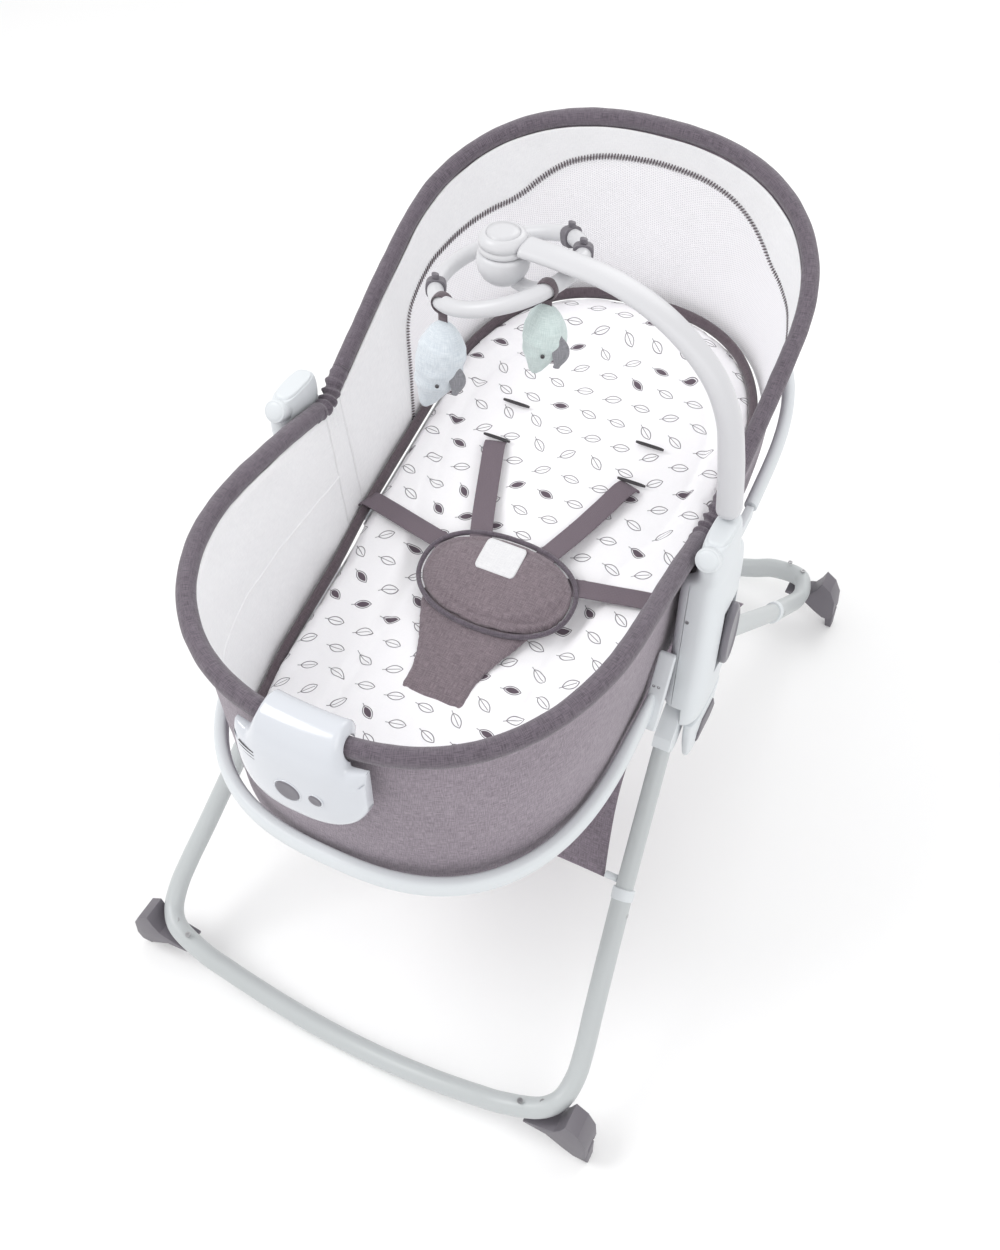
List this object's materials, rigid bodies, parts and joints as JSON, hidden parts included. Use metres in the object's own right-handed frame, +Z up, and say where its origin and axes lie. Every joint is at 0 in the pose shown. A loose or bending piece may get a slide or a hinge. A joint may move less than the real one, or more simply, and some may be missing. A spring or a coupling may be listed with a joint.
{
  "type": "bouncer seat",
  "caption": "Folding rocker bouncer seat with fabric tub, reclining head end, harness, vibration unit and toy arch.",
  "frame": {"origin": "centre of the box's base, on the floor", "axes": "+Z up, +Y towards the head end along the longer horizontal side, +X across"},
  "size_m": [0.57, 0.8851, 0.818],
  "materials": {
    "frame_paint": "satin grey-white powder coat",
    "shell_plastic": "satin moulded plastic",
    "pin_steel": "turned",
    "dark_plastic": "grey-mauve moulded plastic",
    "rim_fabric": "woven melange, tight over the tube",
    "outer_fabric": "woven melange",
    "lining_fabric": "padded white lining with a fine mesh panel",
    "pad_fabric": "white cotton with a small line print",
    "board_plastic": "plain sheet",
    "cover_fabric": "woven melange, piped",
    "webbing": "ribbed webbing",
    "gloss_case": "glossy moulded plastic",
    "plush_blue": "short pile",
    "plush_mint": "short pile"
  },
  "bodies": {
    "seat": {"fold_pin_right": "pin_steel", "fold_pin_left": "pin_steel", "hub_cover_right": "shell_plastic", "hub_cover_left": "shell_plastic", "hub_lower_cover_right": "shell_plastic", "hub_lower_cover_left": "shell_plastic", "hub_bumper_right": "dark_plastic", "hub_bumper_left": "dark_plastic", "arch_lock_cap_right": "shell_plastic", "arch_lock_cap_left": "shell_plastic", "base_ring": "shell_plastic", "foot_rim": "rim_fabric", "foot_wall": "outer_fabric", "seat_pad": "pad_fabric", "seat_board": "board_plastic", "harness_cover": "cover_fabric", "crotch_piece": "cover_fabric", "waist_strap_right": "webbing", "waist_strap_left": "webbing", "controller_case": "gloss_case", "storage_hammock": "outer_fabric"},
    "front_legs": {"front_rocker": "frame_paint", "front_upper_leg_right": "frame_paint", "front_upper_leg_left": "frame_paint", "front_leg_socket_right": "shell_plastic", "front_leg_socket_left": "shell_plastic", "front_foot_right": "dark_plastic", "front_foot_left": "dark_plastic", "hammock_peg_right": "shell_plastic", "hammock_peg_left": "shell_plastic"},
    "rear_legs": {"rear_rocker": "frame_paint", "rear_upper_leg_right": "frame_paint", "rear_upper_leg_left": "frame_paint", "rear_leg_socket_right": "shell_plastic", "rear_leg_socket_left": "shell_plastic", "rear_foot_right": "dark_plastic", "rear_foot_left": "dark_plastic"},
    "backrest": {"head_hoop": "rim_fabric", "rear_ring": "shell_plastic", "head_wall": "lining_fabric", "back_pad": "pad_fabric", "back_board": "board_plastic", "recline_arm_right": "shell_plastic", "recline_arm_left": "shell_plastic", "shoulder_strap_right": "webbing", "shoulder_strap_left": "webbing"},
    "arch": {"toy_arch": "shell_plastic", "arch_disc": "shell_plastic"},
    "toy_ring": {"toy_swivel": "shell_plastic", "toy_ring": "shell_plastic"},
    "plush_blue": {"plush_blue": "plush_blue"},
    "plush_mint": {"plush_mint": "plush_mint"},
    "recline_button_right": {"recline_button_right": "dark_plastic"},
    "recline_button_left": {"recline_button_left": "dark_plastic"},
    "power_button": {"power_button": "dark_plastic"},
    "mode_button": {"mode_button": "dark_plastic"},
    "front_tab_right": {"front_stopper_tab_right": "dark_plastic"},
    "front_tab_left": {"front_stopper_tab_left": "dark_plastic"},
    "rear_tab_right": {"rear_stopper_tab_right": "dark_plastic"},
    "rear_tab_left": {"rear_stopper_tab_left": "dark_plastic"}
  },
  "joints": [
    {"name": "front_legs_fold", "type": "hinge", "parent": "seat", "child": "front_legs", "pos_m": [0, -0.035, 0.394], "axis": [1, 0, 0], "range_deg": [0, 35], "deforming": ["storage_hammock"]},
    {"name": "rear_legs_fold", "type": "hinge", "parent": "seat", "child": "rear_legs", "pos_m": [0, -0.035, 0.394], "axis": [1, 0, 0], "range_deg": [-35, 0]},
    {"name": "backrest_recline", "type": "hinge", "parent": "seat", "child": "backrest", "pos_m": [0, -0.06, 0.448], "axis": [1, 0, 0], "range_deg": [-27, 0], "deforming": ["shoulder_strap_right", "shoulder_strap_left"]},
    {"name": "arch_swing", "type": "hinge", "parent": "seat", "child": "arch", "pos_m": [0.223, -0.062, 0.6065], "axis": [1, 0, 0], "range_deg": [-35, 20]},
    {"name": "toy_ring_spin", "type": "hinge", "parent": "arch", "child": "toy_ring", "pos_m": [0, -0.062, 0.79], "axis": [0, 0, 1], "continuous": true},
    {"name": "recline_press_right", "type": "slide", "parent": "seat", "child": "recline_button_right", "axis": [-1, 0, 0], "range_m": [0, 0.003], "stiffness_N_per_m": 800},
    {"name": "recline_press_left", "type": "slide", "parent": "seat", "child": "recline_button_left", "axis": [1, 0, 0], "range_m": [0, 0.003], "stiffness_N_per_m": 800},
    {"name": "power_press", "type": "slide", "parent": "seat", "child": "power_button", "axis": [0, 1, 0], "range_m": [0, 0.0015], "stiffness_N_per_m": 400},
    {"name": "mode_press", "type": "slide", "parent": "seat", "child": "mode_button", "axis": [0, 1, 0], "range_m": [0, 0.0015], "stiffness_N_per_m": 400},
    {"name": "plush_blue_swing", "type": "hinge", "parent": "toy_ring", "child": "plush_blue", "pos_m": [-0.0405, -0.0952, 0.7495], "axis": [0, 1, 0], "range_deg": [-25, 25]},
    {"name": "plush_mint_swing", "type": "hinge", "parent": "toy_ring", "child": "plush_mint", "pos_m": [0.0474, -0.0764, 0.778], "axis": [0, 1, 0], "range_deg": [-25, 25]},
    {"name": "front_tab_right_flip", "type": "hinge", "parent": "front_legs", "child": "front_tab_right", "pos_m": [0.279, -0.42, 0.029], "axis": [0, -1, 0], "range_deg": [0, 80]},
    {"name": "front_tab_left_flip", "type": "hinge", "parent": "front_legs", "child": "front_tab_left", "pos_m": [-0.279, -0.42, 0.029], "axis": [0, 1, 0], "range_deg": [0, 80]},
    {"name": "rear_tab_right_flip", "type": "hinge", "parent": "rear_legs", "child": "rear_tab_right", "pos_m": [0.279, 0.42, 0.029], "axis": [0, -1, 0], "range_deg": [0, 80]},
    {"name": "rear_tab_left_flip", "type": "hinge", "parent": "rear_legs", "child": "rear_tab_left", "pos_m": [-0.279, 0.42, 0.029], "axis": [0, 1, 0], "range_deg": [0, 80]}
  ],
  "couplings": [
    {"joint": "rear_legs_fold", "follows": "front_legs_fold", "ratio": -1}
  ]
}
